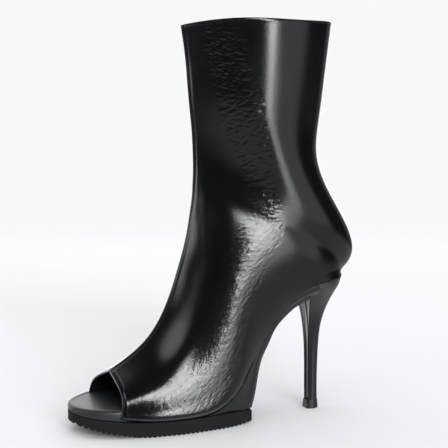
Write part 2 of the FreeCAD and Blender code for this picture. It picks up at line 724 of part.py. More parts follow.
screw_x = 187.0
screw_top = board_top_at(screw_x - size("screw_head_radius")) - 0.15
screw_head = upright("screw_head", screw_x, 0, screw_top - size("screw_head_height"),
                     "Sizes.screw_head_radius", "Sizes.screw_head_height")
screw_shaft = upright("screw_shaft", screw_x, 0, screw_top - size("screw_height"),
                      "Sizes.screw_radius", "Sizes.screw_height - Sizes.screw_head_height / 2")
heel_screw = fuse("heel_screw", [screw_head, screw_shaft])
nail_places = ((182.5, 13.5), (182.5, -13.5), (194.5, 9.5), (194.5, -9.5))
nails = []
for n, (nail_x, nail_y) in enumerate(nail_places):
    nail_foot = board_top_at(nail_x - 1) - 0.15 - size("nail_height")
    nails.append(upright("nail_%d" % n, nail_x, nail_y, nail_foot, "Sizes.nail_radius",
                         "Sizes.nail_height"))
heel_nails = fuse("heel_nails", nails)
rivets = []
for n, rivet_x in enumerate((124.0, 163.0)):
    slope = board_slope_at(rivet_x)
    rivet = doc.addObject("Part::Cylinder", "rivet_%d" % n)
    bind(rivet, Radius="Sizes.rivet_radius", Height="Sizes.rivet_height")
    rivet_turn = FreeCAD.Rotation(Vec(0, 1, 0), -slope)
    rivet_top = Vec(rivet_x, 0, board_top_at(rivet_x))
    rivet_foot = rivet_top - rivet_turn.multVec(Vec(0, 0, size("rivet_height") + 0.35))
    rivet.Placement = home.multiply(FreeCAD.Placement(rivet_foot, rivet_turn))
    rivets.append(rivet)
shank_rivets = fuse("shank_rivets", rivets)
board_holes = fuse("board_holes", [heel_screw, heel_nails, shank_rivets, forefoot_cushion])
insole_board = cut("insole_board", board_blank, board_holes)
shank = cut("shank", shank_blank, shank_rivets)
waist_core = cut("waist_core", waist_blank, fuse("waist_recess", [shank_blank, shank_rivets]))
heel_core = cut("heel_core", cut("core_seated", core_blank, seat_tool),
                fuse("core_holes", [heel_screw, heel_nails, tube_outer]))

breast_back = [(level[1] - 0.15, level[0]) for level in heel_levels[:5]]
breast_back[0] = (181.55, 7.0)
breast_front = offset_run(breast_back, 0.9)
breast_cover = new_body("breast_cover")
breast_sketch = new_sketch(breast_cover, "breast_side", "XZ_Plane")
draw_runs(breast_sketch, band(breast_back, breast_front))
pad(breast_cover, breast_sketch, "breast_pad", "Sizes.stem_width", "Symmetric")

# height, front, back and half width of the top piece at the ground and at the heel
tip_levels = ((0, 180.3, 191.3, 5.5), (6.4, 180.8, 190.9, 5.1))
tip_body = new_body("tip_blank")
tip_sketches = []
for n, (tip_z, tip_front, tip_back, tip_half) in enumerate(tip_levels):
    tip_sketch = new_sketch(tip_body, "tip_level_%d" % n, "XY_Plane", tip_z)
    tip_deep = tip_back - tip_front
    tip_side = [(tip_front, 0.72 * tip_half), (tip_front + 0.3 * tip_deep, tip_half),
                (tip_front + 0.78 * tip_deep, 0.74 * tip_half)]
    tip_run = tip_side + [(tip_back, 0)] + [(x, -y) for x, y in tip_side[::-1]]
    draw_runs(tip_sketch, [tip_run, [tip_run[-1], tip_run[0]]])
    tip_sketches.append(tip_sketch)
tip_loft = tip_body.newObject("PartDesign::AdditiveLoft", "tip_loft")
tip_loft.Profile = tip_sketches[0]
tip_loft.Sections = tip_sketches[1:]
heel_tip = cut("heel_tip", tip_body, heel_tip_pin)

# ---------------------------------------------------------------- zip hardware
tooth_count = int((zip_length - 10) / size("tooth_pitch"))


def teeth_row(name, low_x):
    """One row: a cord along the tape's edge and a tooth repeated up it."""
    body = new_body(name)
    body.Placement = in_zip(0, 0, 5)
    cord_x = tape_gap if low_x > 0 else -tape_gap - 0.7
    cord_sketch = new_sketch(body, name + "_cord_plan", "XY_Plane")
    draw_rectangle(cord_sketch, cord_x, teeth_low, "0.7", "Sizes.tooth_thick - 0.2")
    pad(body, cord_sketch, name + "_cord", "Sizes.zip_length - 8")
    tooth_sketch = new_sketch(body, name + "_tooth_plan", "XY_Plane", 0.5)
    draw_rectangle(tooth_sketch, low_x, teeth_low, "Sizes.tooth_width", "Sizes.tooth_thick")
    tooth = pad(body, tooth_sketch, name + "_tooth", "Sizes.tooth_tall")
    pattern = body.newObject("PartDesign::LinearPattern", name + "_row")
    pattern.Originals = [tooth]
    pattern.Direction = (origin_plane(body, "Z_Axis"), [""])
    pattern.Length = size("tooth_pitch") * (tooth_count - 1)
    pattern.Occurrences = tooth_count
    body.Tip = pattern
    return body


zip_teeth_front = teeth_row("zip_teeth_front", -tape_gap - size("tooth_width"))
zip_teeth_back = teeth_row("zip_teeth_back", tape_gap)
stop_top = zip_length - 3
zip_top_stops = fuse("zip_top_stops", [
    zip_block("top_stop_front", -tape_gap - size("tooth_width"), teeth_low, stop_top + 0.1,
              "Sizes.tooth_width", "1.45", "2.4"),
    zip_block("top_stop_back", tape_gap, teeth_low, stop_top + 0.1, "Sizes.tooth_width", "1.45",
              "2.4")])
zip_bottom_stop = zip_block("zip_bottom_stop", -2.9, teeth_low, 0.8, "5.8", "1.5", "4")

slider_rest = stop_top - 0.4 - size("slider_length")
hinge_z = slider_rest + 0.62 * size("slider_length")
hinge_y = size("hinge_height")
slider_half = size("slider_width") / 2
wing_low = 0.65
wing_top = wing_low + size("wing_thick")


def cross_pin(name, y, z, radius, half):
    """A round bar across the zip."""
    bar = doc.addObject("Part::Cylinder", name)
    bind(bar, Radius=radius, Height="2 * %s" % half)
    turn = FreeCAD.Placement(Vec(0, 0, 0), FreeCAD.Rotation(Vec(0, 1, 0), 90))
    bar.Placement = in_zip(-size(half.split(".")[1]), y, z).multiply(turn)
    return bar


lug_half = size("puller_width") / 2 + 0.3
slider_parts = [
    zip_block("wing_over", -slider_half, wing_low, slider_rest, "Sizes.slider_width",
              "Sizes.wing_thick", "Sizes.slider_length"),
    zip_block("wing_under", -slider_half + 0.5, -2.95, slider_rest, "Sizes.slider_width - 1",
              "0.5", "Sizes.slider_length"),
    zip_block("flange_front", -slider_half, -0.65, slider_rest, "0.6", "1.45",
              "Sizes.slider_length"),
    zip_block("flange_back", slider_half - 0.6, -0.65, slider_rest, "0.6", "1.45",
              "Sizes.slider_length"),
    zip_block("slider_post", -0.3, -2.7, slider_rest + 5, "Sizes.post_thick", "3.6", "3.5"),
]
for lug_name, lug_x in (("lug_front", -lug_half - 0.8), ("lug_back", lug_half)):
    slider_parts.append(zip_block(lug_name, lug_x, wing_low + 0.3, hinge_z - 1.5, "Sizes.lug_thick",
                                  "Sizes.hinge_height", "3"))
slider_parts.append(cross_pin("hinge_pin", hinge_y, hinge_z, "Sizes.hinge_pin_radius",
                              "Sizes.pin_half"))
zip_slider = fuse("zip_slider", slider_parts)

puller_half = size("puller_width") / 2
puller_thick = size("puller_thick")
puller_plate = zip_block("puller_plate", -puller_half, hinge_y - puller_thick / 2,
                         hinge_z - size("puller_length"), "Sizes.puller_width",
                         "Sizes.puller_thick", "Sizes.puller_length")
puller_eye = cross_pin("puller_eye", hinge_y, hinge_z, "1.5", "Sizes.puller_half")
puller_bore = cross_pin("puller_bore", hinge_y, hinge_z, "0.9", "Sizes.pin_half")
puller_window = zip_block("puller_window", -1.2, hinge_y - 3, hinge_z - size("puller_length") + 4,
                          "2.4", "6", "9")
zip_puller = cut("zip_puller", fuse("puller_solid", [puller_plate, puller_eye]),
                 fuse("puller_holes", [puller_bore, puller_window]))

# ---------------------------------------------------------------- checks and export
sub_parts = [outer_quarter, inner_quarter, outer_lining, inner_lining, topline_facing, opening_stay,
             heel_counter, front_seam_tape, back_seam_tape, tapes[0], tapes[1], zip_teeth_front,
             zip_teeth_back, zip_top_stops, zip_bottom_stop, zip_guard, zip_slider, zip_puller,
             outsole, platform, platform_cover, waist_core, waist_wrap, waist_sole, insole_board,
             forefoot_cushion, shank, shank_rivets, sock_lining, heel_core, heel_cover, heel_tube,
             breast_cover, heel_tip, heel_tip_pin, heel_screw, heel_nails]
doc.recompute()
for item in doc.Objects:
    if "Invalid" in item.State or "Error" in item.State:
        raise RuntimeError("%s failed: %s" % (item.Name, item.State))
box = FreeCAD.BoundBox()
for item in sub_parts:
    item.Label = item.Name
    shape = item.Shape
    if shape.isNull() or not shape.isValid() or not shape.Solids:
        raise RuntimeError("%s has no valid solid" % item.Label)
    box.add(shape.optimalBoundingBox(False))
    shape.exportStep("parts/%s.step" % item.Label)
print("box", box)
for place_name, place in (("zip foot", in_zip(0, 0, 0)), ("hinge", in_zip(0, hinge_y, hinge_z)),
                          ("zip head", in_zip(0, 0, zip_length))):
    print(place_name, place.Base)
print("zip axis", zip_turn.multVec(Vec(0, 0, 1)), "hinge axis", zip_turn.multVec(Vec(1, 0, 0)))
print("slider travel", slider_rest - 5.2)
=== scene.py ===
import bpy
import json
import math
import numpy as np
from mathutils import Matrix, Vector


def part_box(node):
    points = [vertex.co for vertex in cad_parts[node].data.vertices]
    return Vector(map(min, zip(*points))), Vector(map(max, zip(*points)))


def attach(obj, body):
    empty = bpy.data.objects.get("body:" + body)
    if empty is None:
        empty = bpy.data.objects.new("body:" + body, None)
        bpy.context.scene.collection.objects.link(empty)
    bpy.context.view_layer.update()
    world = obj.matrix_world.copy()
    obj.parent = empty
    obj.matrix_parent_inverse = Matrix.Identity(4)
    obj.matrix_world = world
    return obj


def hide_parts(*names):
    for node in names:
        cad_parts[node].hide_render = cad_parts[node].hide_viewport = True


# A left peep-toe ankle boot on a stiletto heel: polished leather upper, covered heel, rubber outsole,
# and a zip up the inner side. Toe towards -X, outer side towards -Y.

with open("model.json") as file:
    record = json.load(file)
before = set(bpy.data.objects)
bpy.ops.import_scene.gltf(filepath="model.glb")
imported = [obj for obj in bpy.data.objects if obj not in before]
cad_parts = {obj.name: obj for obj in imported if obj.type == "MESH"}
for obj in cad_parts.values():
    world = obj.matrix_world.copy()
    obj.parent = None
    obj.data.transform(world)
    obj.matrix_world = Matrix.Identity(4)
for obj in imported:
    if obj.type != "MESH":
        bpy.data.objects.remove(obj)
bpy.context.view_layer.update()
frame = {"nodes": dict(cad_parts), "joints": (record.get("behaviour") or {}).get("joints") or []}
nodes = frame["nodes"]
joints = {joint["name"]: joint for joint in frame["joints"]}
rng = np.random.default_rng(11)
mm = 0.001

# the shapes below are drawn from the toe opening, in millimetres, then moved onto the CAD's heel tip
tipLow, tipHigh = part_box("heel_tip")
drawnTip = 185.8 * mm
homeShift = np.array([(tipLow.x + tipHigh.x) / 2 - drawnTip, (tipLow.y + tipHigh.y) / 2, 0.0])


def toFrame(points):
    return np.asarray(points, float) * mm + homeShift


# ---- materials

def hexColour(code):
    parts = [int(code[i:i + 2], 16) / 255 for i in (1, 3, 5)]
    return tuple(p / 12.92 if p <= 0.04045 else ((p + 0.055) / 1.055) ** 2.4 for p in parts) + (1.0,)


def addNode(tree, kind, sockets=None, **settings):
    made = tree.nodes.new(kind)
    for name, value in settings.items():
        setattr(made, name, value)
    for name, value in (sockets or {}).items():
        if isinstance(value, bpy.types.NodeSocket):
            tree.links.new(value, made.inputs[name])
        else:
            made.inputs[name].default_value = value
    return made


def newMaterial(name, **sockets):
    material = bpy.data.materials.new(name)
    material.use_nodes = True
    tree = material.node_tree
    shader = tree.nodes["Principled BSDF"]
    for socket, value in sockets.items():
        shader.inputs[socket.replace("_", " ")].default_value = value
    place = addNode(tree, "ShaderNodeTexCoord").outputs["Object"]
    return material, tree, shader, place


def spread(tree, factor, low, high):    # one of two colours by a 0 to 1 pattern
    ramp = addNode(tree, "ShaderNodeValToRGB", {"Fac": factor})
    ramp.color_ramp.elements[0].color = hexColour(low)
    ramp.color_ramp.elements[1].color = hexColour(high)
    return ramp


leatherLook = {
    "dark": "#040507", "light": "#0b0c0f",
    "roughness": (0.14, 0.2),
    "grainWidth": 1.1 * mm,     # pores and pebbles of calf, drawn a little coarse so that they show
    "grainDepth": 0.035 * mm,
    "creaseWidth": 1.5 * mm,
    "creaseDepth": 0.1 * mm,
}


# polished full-grain calf: near black under a clear finish, with soft-edged reflections and fine creases
def polishedLeather(name, look, creased=True):
    material, tree, shader, place = newMaterial(name, IOR=1.5, Coat_Weight=0.1, Coat_Roughness=0.1)
    cloud = addNode(tree, "ShaderNodeTexNoise", {"Vector": place, "Scale": 22.0, "Detail": 4.0})
    colour = spread(tree, cloud.outputs["Fac"], look["dark"], look["light"])
    tree.links.new(colour.outputs["Color"], shader.inputs["Base Color"])
    rough = addNode(tree, "ShaderNodeMapRange", {
        "Value": cloud.outputs["Fac"], "From Min": 0.35, "From Max": 0.65,
        "To Min": look["roughness"][0], "To Max": look["roughness"][1]})
    tree.links.new(rough.outputs["Result"], shader.inputs["Roughness"])
    pebble = addNode(tree, "ShaderNodeTexVoronoi", {
        "Vector": place, "Scale": 1 / look["grainWidth"], "Smoothness": 0.6}, feature="SMOOTH_F1")
    grain = addNode(tree, "ShaderNodeBump", {
        "Height": pebble.outputs["Distance"], "Distance": look["grainDepth"], "Strength": 1.0})
    last = grain
    if creased:
        # short creases that run across the leather, only where the panel's mask says so
        warp = addNode(tree, "ShaderNodeTexNoise", {"Vector": place, "Scale": 160.0, "Detail": 2.0})
        bent = addNode(tree, "ShaderNodeVectorMath", {0: warp.outputs["Color"], 1: (0.004,) * 3},
                       operation="MULTIPLY")
        moved = addNode(tree, "ShaderNodeVectorMath", {0: place, 1: bent.outputs[0]}, operation="ADD")
        tilt = addNode(tree, "ShaderNodeMapping", {
            "Vector": moved.outputs[0], "Rotation": (0.0, math.radians(-24), 0.0),
            "Scale": (0.34, 0.34, 1.0)})
        lines = addNode(tree, "ShaderNodeTexNoise", {
            "Vector": tilt.outputs[0], "Scale": 1 / look["creaseWidth"], "Detail": 2.5,
            "Roughness": 0.55}, noise_type="RIDGED_MULTIFRACTAL")
        mask = addNode(tree, "ShaderNodeAttribute", attribute_name="crease")
        masked = addNode(tree, "ShaderNodeMath", {
            0: lines.outputs["Fac"], 1: mask.outputs["Fac"]}, operation="MULTIPLY")
        last = addNode(tree, "ShaderNodeBump", {
            "Height": masked.outputs[0], "Distance": look["creaseDepth"], "Strength": 1.0,
            "Normal": grain.outputs["Normal"]})
    tree.links.new(last.outputs["Normal"], shader.inputs["Normal"])
    return material


upperLeather = polishedLeather("polishedCalfLeather", leatherLook)
coverLeather = polishedLeather("polishedCoverLeather", dict(
    leatherLook, dark="#0a0b0d", light="#141619", roughness=(0.22, 0.32), grainDepth=0.02 * mm), False)


# dyed pigskin lining: matt, black, with its pores in little groups
def dyedLining():
    material, tree, shader, place = newMaterial("dyedLiningLeather", IOR=1.45, Roughness=0.62)
    cloud = addNode(tree, "ShaderNodeTexNoise", {"Vector": place, "Scale": 60.0, "Detail": 5.0})
    colour = spread(tree, cloud.outputs["Fac"], "#060606", "#121113")
    tree.links.new(colour.outputs["Color"], shader.inputs["Base Color"])
    pores = addNode(tree, "ShaderNodeTexVoronoi", {"Vector": place, "Scale": 1 / (1.4 * mm)})
    bump = addNode(tree, "ShaderNodeBump", {
        "Height": pores.outputs["Distance"], "Distance": 0.06 * mm, "Strength": 1.0})
    tree.links.new(bump.outputs["Normal"], shader.inputs["Normal"])
    return material


# cellular rubber: matt and a little brown, with fine open pores and faint mould flow
def cellularRubber():
    material, tree, shader, place = newMaterial("cellularRubber", IOR=1.35, Roughness=0.78)
    cloud = addNode(tree, "ShaderNodeTexNoise", {"Vector": place, "Scale": 40.0, "Detail": 6.0})
    colour = spread(tree, cloud.outputs["Fac"], "#0b0a0b", "#151314")
    tree.links.new(colour.outputs["Color"], shader.inputs["Base Color"])
    pores = addNode(tree, "ShaderNodeTexVoronoi", {"Vector": place, "Scale": 1 / (0.7 * mm)})
    flow = addNode(tree, "ShaderNodeMapping", {
        "Vector": place, "Rotation": (0.0, math.radians(12), 0.0), "Scale": (0.15, 0.15, 1.0)})
    streaks = addNode(tree, "ShaderNodeTexNoise", {
        "Vector": flow.outputs[0], "Scale": 1 / (2.2 * mm), "Detail": 2.0})
    both = addNode(tree, "ShaderNodeMath", {
        0: pores.outputs["Distance"], 1: streaks.outputs["Fac"]}, operation="ADD")
    bump = addNode(tree, "ShaderNodeBump", {
        "Height": both.outputs[0], "Distance": 0.09 * mm, "Strength": 1.0})
    tree.links.new(bump.outputs["Normal"], shader.inputs["Normal"])
    return material


# one description for each of the plainer finishes: colours, roughness, and the size of what shows
plainLooks = {
    "wovenPolyesterTape": dict(dark="#050506", light="#15161a", rough=0.75, width=0.9, depth=0.12),
    "blackAcetalTeeth": dict(dark="#0a0a0b", light="#131315", rough=0.34, width=2.5, depth=0.01),
    "blackNickelZinc": dict(dark="#17181a", light="#26282b", rough=0.24, width=3.0, depth=0.006,
                            metal=1.0),
    "polishedHeelRubber": dict(dark="#0b0b0b", light="#171717", rough=0.5, width=0.8, depth=0.03),
    "mouldedFibreboard": dict(dark="#5a4632", light="#7a634a", rough=0.85, width=1.5, depth=0.08),
    "nonwovenStiffener": dict(dark="#b9b3a6", light="#d2ccbe", rough=0.9, width=1.2, depth=0.08),
    "mouldedPolystyrene": dict(dark="#1a1a1c", light="#222224", rough=0.45, width=4.0, depth=0.02),
    "springSteel": dict(dark="#8b8d90", light="#a7a9ac", rough=0.35, width=1.0, depth=0.01, metal=1.0),
    "latexFoam": dict(dark="#cfc6ae", light="#e2dac5", rough=0.9, width=0.9, depth=0.15),
    "dyedEvaPlatform": dict(dark="#0e0e0f", light="#1a1a1b", rough=0.7, width=1.2, depth=0.06),
}


def plainFinish(name, look):
    material, tree, shader, place = newMaterial(name, Roughness=look["rough"])
    shader.inputs["Metallic"].default_value = look.get("metal", 0.0)
    cloud = addNode(tree, "ShaderNodeTexNoise", {
        "Vector": place, "Scale": 0.3 / (look["width"] * mm), "Detail": 5.0})
    colour = spread(tree, cloud.outputs["Fac"], look["dark"], look["light"])
    tree.links.new(colour.outputs["Color"], shader.inputs["Base Color"])
    cells = addNode(tree, "ShaderNodeTexVoronoi", {"Vector": place, "Scale": 1 / (look["width"] * mm)})
    bump = addNode(tree, "ShaderNodeBump", {
        "Height": cells.outputs["Distance"], "Distance": look["depth"] * mm, "Strength": 1.0})
    tree.links.new(bump.outputs["Normal"], shader.inputs["Normal"])
    return material


finishes = {name: plainFinish(name, look) for name, look in plainLooks.items()}
liningLeather = dyedLining()
sockLeather = polishedLeather("satinSockLeather", dict(
    leatherLook, dark="#17181a", light="#212326", roughness=(0.4, 0.5), grainDepth=0.02 * mm), False)
soleRubber = cellularRubber()
threadLook = dict(dark="#0a0b0c", light="#1c1d20", rough=0.5, width=0.35, depth=0.05)
stitchThread = plainFinish("bondedNylonThread", threadLook)   # twisted thread with a faint shine
print("materials made")

# ---- the last: the form that the upper is pulled over
# each station: front seam x z, bottom or back x z, half widths outer and inner, feather half widths
# outer and inner, lean of the front wall, place and fullness of the shoulder
stations = {
    "toe": (22.0, 44.0, 18.0, 13.8, 31.0, 30.0, 29.5, 31.0, 19, 0.38, 1.04),
    "vamp": (37.0, 53.5, 42.0, 11.2, 35.2, 35.2, 34.5, 35.5, 20, 0.38, 1.04),
    "joint": (53.0, 68.0, 70.0, 10.6, 36.2, 36.0, 35.5, 36.0, 24, 0.38, 1.05),
    "ball": (66.0, 90.5, 96.0, 14.0, 34.8, 34.4, 32.5, 32.0, 27, 0.36, 1.08),
    "waist": (75.0, 116.0, 117.5, 30.5, 32.6, 32.0, 27.0, 25.5, 29, 0.32, 1.12),
    "arch": (81.0, 137.0, 133.5, 60.0, 31.0, 30.8, 24.0, 22.5, 31, 0.30, 1.13),
    "instep": (84.5, 156.0, 152.0, 84.5, 30.4, 30.3, 24.5, 23.5, 32, 0.30, 1.13),
    "seat": (86.7, 173.0, 182.0, 102.3, 30.2, 30.2, 26.5, 26.5, 33, 0.30, 1.13),
    "heelRear": (87.3, 187.0, 208.0, 107.0, 30.0, 30.0, 0.0, 0.0, 33, 0.30, 1.13),
    "counter": (87.2, 200.0, 218.3, 124.0, 30.2, 30.4, 0.0, 0.0, 34, 0.30, 1.13),
    "achilles": (86.5, 216.0, 211.0, 146.0, 30.8, 30.95, 0.0, 0.0, 35, 0.30, 1.13),
    "ankle": (85.0, 232.0, 196.5, 170.0, 31.5, 31.25, 0.0, 0.0, 35, 0.30, 1.13),
    "shin": (83.3, 250.0, 185.8, 197.5, 32.6, 32.35, 0.0, 0.0, 35, 0.30, 1.13),
    "calfLow": (82.0, 266.0, 187.7, 228.0, 33.6, 33.45, 0.0, 0.0, 35, 0.30, 1.13),
    "calf": (80.2, 281.0, 192.3, 263.0, 34.7, 34.6, 0.0, 0.0, 35, 0.30, 1.13),
    "top": (78.0, 294.7, 197.0, 299.3, 35.8, 35.8, 0.0, 0.0, 35, 0.30, 1.13),
}
table = np.array(list(stations.values()), float)
outer, inner = -1, 1
seat, heelRear, top = 7, 8, 15
params = np.array([*range(seat + 1), seat + 1 / 3, seat + 2 / 3, *range(heelRear, top + 1)], float)


def stationAt(param):
    lower = min(int(param), top)
    share = param - lower
    if share == 0:
        return table[lower]
    found = table[lower] + (table[lower + 1] - table[lower]) * share
    turn = share * math.pi / 2      # the feather line closes round the heel
    found[2:4] = table[lower][2:4] + (table[lower + 1][2:4] - table[lower][2:4]) * math.sin(turn)
    found[6:8] = table[lower][6:8] * math.cos(turn)
    return found


def sectionPoles(param, side, inset):
    s = stationAt(param)
    half, feather = (s[4], s[6]) if side == outer else (s[5], s[7])
    lean = math.radians(s[8])
    front, back = s[0:2], s[2:4]
    along = (back - front) / np.linalg.norm(back - front)
    under = feather / half
    sideways = inset * min(1.0, under / 0.8)
    front = front + along * inset / math.cos(lean)
    back = back - along * math.sqrt(max(0.0, inset ** 2 - sideways ** 2))
    length = np.linalg.norm(back - front)
    half, feather = half - inset, feather - sideways
    reach = 0.42 * half
    ease = min(1.0, max(0.0, (5.5 - param) / 2.5))
    vamp = ease * ease * (3 - 2 * ease)     # the vamp's wall is fuller and turns under more sharply
    ahead = np.array([0, reach * math.tan(lean), s[9] * length,
                      (0.66 + 0.04 * under + 0.18 * vamp) * length,
                      (1 - 0.14 * under + 0.08 * vamp) * length, length])
    out = np.array([0, reach, s[10] * half, (1.13 - 0.07 * vamp) * half,
                    (1.04 + 0.10 * vamp) * feather + 0.62 * (1 - under) * half, feather])
    rise = 4.0 * max(0.0, (param - top + 1.5) / 1.5) ** 2 * np.array([0, 0.6, 1, 0, 0, 0])
    skew = max(0.0, 1 - param / 2.5) ** 2 * (0.10 if side == outer else -0.16)
    wall = (param - seat if seat < param <= heelRear else 0.0) * np.array([0, 0, 0, 2.0, 6.0, 0])
    return np.stack([front[0] + along[0] * ahead + skew * out + 0.4 * wall, side * out,
                     front[1] + along[1] * ahead + rise + wall], 1)


def smoothThrough(knots, values):       # natural cubic spline
    count, gaps = len(knots), np.diff(knots)
    matrix, right = np.eye(count), np.zeros(values.shape)
    for i in range(1, count - 1):
        matrix[i, i - 1:i + 2] = gaps[i - 1], 2 * (gaps[i - 1] + gaps[i]), gaps[i]
        right[i] = 6 * ((values[i + 1] - values[i]) / gaps[i] - (values[i] - values[i - 1]) / gaps[i - 1])
    bends = np.linalg.solve(matrix, right.reshape(count, -1)).reshape(values.shape)

    def at(places):
        i = np.clip(np.searchsorted(knots, places) - 1, 0, count - 2)
        shape = (-1,) + (1,) * (values.ndim - 1)
        gap = gaps[i].reshape(shape)
        t = (places - knots[i]).reshape(shape)
        g = gap - t
        return (bends[i] * g ** 3 / 6 / gap + bends[i + 1] * t ** 3 / 6 / gap
                + (values[i] / gap - bends[i] * gap / 6) * g
                + (values[i + 1] / gap - bends[i + 1] * gap / 6) * t)
    return at


def crossWeights(v):        # cubic B-spline of six poles
    knots = np.array([0, 0, 0, 0, 1 / 3, 2 / 3, 1, 1, 1, 1])
    v = np.clip(v, 0, 1 - 1e-12)
    weights = [((v >= knots[i]) & (v < knots[i + 1])).astype(float) for i in range(9)]
    for degree in range(1, 4):
        lifted = []
        for i in range(9 - degree):
            total = np.zeros_like(v)
            if knots[i + degree] > knots[i]:
                total += (v - knots[i]) / (knots[i + degree] - knots[i]) * weights[i]
            if knots[i + degree + 1] > knots[i + 1]:
                total += ((knots[i + degree + 1] - v) / (knots[i + degree + 1] - knots[i + 1])
                          * weights[i + 1])
            lifted.append(total)
        weights = lifted
    return np.stack(weights)


def lastForm(side, inset):
    poles = np.stack([sectionPoles(param, side, inset) for param in params])
    everywhere = smoothThrough(params, poles)
    foot, shaft = params <= heelRear, params >= heelRear
    footEdge = smoothThrough(params[foot], poles[foot, 5])
    shaftEdge = smoothThrough(params[shaft], poles[shaft, 5])

    def at(u, v):           # u up the boot, v from the front seam round to the bottom or back
        u, v = np.broadcast_arrays(np.asarray(u, float), np.asarray(v, float))
        flat = u.ravel()
        found = everywhere(flat)
        low = flat <= heelRear
        found[low, 5] = footEdge(flat[low])
        found[~low, 5] = shaftEdge(flat[~low])
        points = np.einsum("nja,jn->na", found, crossWeights(v.ravel()))
        return points.reshape(u.shape + (3,))
    return at


outside = {side: lastForm(side, 0.0) for side in (outer, inner)}


def gridNormals(points, side):
    normals = np.cross(np.gradient(points, axis=0), np.gradient(points, axis=1)) * -side
    size = np.linalg.norm(normals, axis=-1, keepdims=True)
    return normals / np.maximum(size, 1e-9)


# ---- meshes

def makePiece(name, points, faces, material, body, stands=()):
    mesh = bpy.data.meshes.new(name)
    mesh.from_pydata([tuple(p) for p in toFrame(points)], [], [tuple(int(i) for i in f) for f in faces])
    mesh.validate()
    mesh.polygons.foreach_set("use_smooth", [True] * len(mesh.polygons))
    mesh.materials.append(material)
    piece = bpy.data.objects.new(name, mesh)
    bpy.context.scene.collection.objects.link(piece)
    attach(piece, body)
    if stands:
        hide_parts(*stands)
    return piece


def closedPanel(faceSkin, backSkin, lip=0.45, kept=None, rings=4):
    # a sheet with thickness, its edges turned in a half round
    rows, cols = faceSkin.shape[:2]
    index = np.arange(rows * cols).reshape(rows, cols)
    quads = np.stack([index[:-1, :-1], index[1:, :-1], index[1:, 1:], index[:-1, 1:]], -1)
    quads = quads[kept] if kept is not None else quads.reshape(-1, 4)
    face, back = faceSkin.reshape(-1, 3), backSkin.reshape(-1, 3)
    middle = quads[len(quads) // 2]
    turned = np.cross(face[middle[1]] - face[middle[0]], face[middle[2]] - face[middle[0]])
    if turned @ (face[middle[0]] - back[middle[0]]) < 0:
        quads = quads[:, ::-1]
    count = rows * cols
    starts, ends = quads.ravel(), np.roll(quads, -1, 1).ravel()
    rim = ~np.isin(starts * count + ends, ends * count + starts)
    starts, ends = starts[rim], ends[rim]
    normals = face - back
    thick = np.linalg.norm(normals, axis=1, keepdims=True)
    normals = normals / np.maximum(thick, 1e-9)
    away = np.zeros_like(face)
    out = np.cross(face[ends] - face[starts], normals[starts])
    out /= np.maximum(np.linalg.norm(out, axis=1, keepdims=True), 1e-9)
    np.add.at(away, starts, out)
    np.add.at(away, ends, out)
    rimPoints = np.unique(np.concatenate([starts, ends]))
    away = away[rimPoints] / np.maximum(np.linalg.norm(away[rimPoints], axis=1, keepdims=True), 1e-9)
    middleLine = (face[rimPoints] + back[rimPoints]) / 2
    points, faces = [face, back], [quads, quads[:, ::-1] + count]
    place = np.zeros(count, int)
    place[rimPoints] = np.arange(len(rimPoints))
    before = starts, ends
    for ring in range(1, rings + 1):
        if ring < rings:
            angle = math.pi * ring / rings
            points.append(middleLine + normals[rimPoints] * thick[rimPoints] / 2 * math.cos(angle)
                          + away * lip * math.sin(angle))
            base = 2 * count + (ring - 1) * len(rimPoints)
            after = base + place[starts], base + place[ends]
        else:
            after = starts + count, ends + count
        faces.append(np.stack([before[1], before[0], after[0], after[1]], 1))
        before = after
    points, faces = np.concatenate(points), np.concatenate(faces)
    used = np.unique(faces)
    renumber = np.zeros(len(points), int)
    renumber[used] = np.arange(len(used))
    return points[used], renumber[faces], used


# where the outer leather is creased: u, then from v to v, how strongly, and the creases' slope in degrees
creasedBand = np.array([
    (0.3, 0.28, 0.70, 0.15, 80), (1.2, 0.32, 0.74, 0.2, 70), (2.3, 0.36, 0.80, 0.3, 60),
    (3.2, 0.36, 0.80, 0.34, 50), (4.2, 0.33, 0.72, 0.36, 42), (5.5, 0.36, 0.70, 0.36, 34),
    (6.5, 0.34, 0.60, 0.34, 30), (7.6, 0.32, 0.52, 0.4, 30), (8.6, 0.31, 0.46, 0.6, 32),
    (9.6, 0.26, 0.43, 0.75, 34), (11.0, 0.22, 0.46, 1.0, 30), (12.2, 0.19, 0.46, 1.0, 18),
    (13.4, 0.14, 0.40, 1.0, 6), (14.5, 0.13, 0.33, 0.8, -4), (14.9, 0.14, 0.30, 0.0, -4)])


def creaseMask(u, v):
    low, high, strength = (np.interp(u, creasedBand[:, 0], creasedBand[:, k]) for k in (1, 2, 3))
    middle, half = (low + high) / 2, (high - low) / 2
    reach = np.clip(1.35 - np.abs(v - middle) / half, 0, 0.5) / 0.5
    return strength * reach * reach * (3 - 2 * reach)


creaseStyle = {"count": 8500, "length": 3.0, "width": 0.44, "height": 0.085}


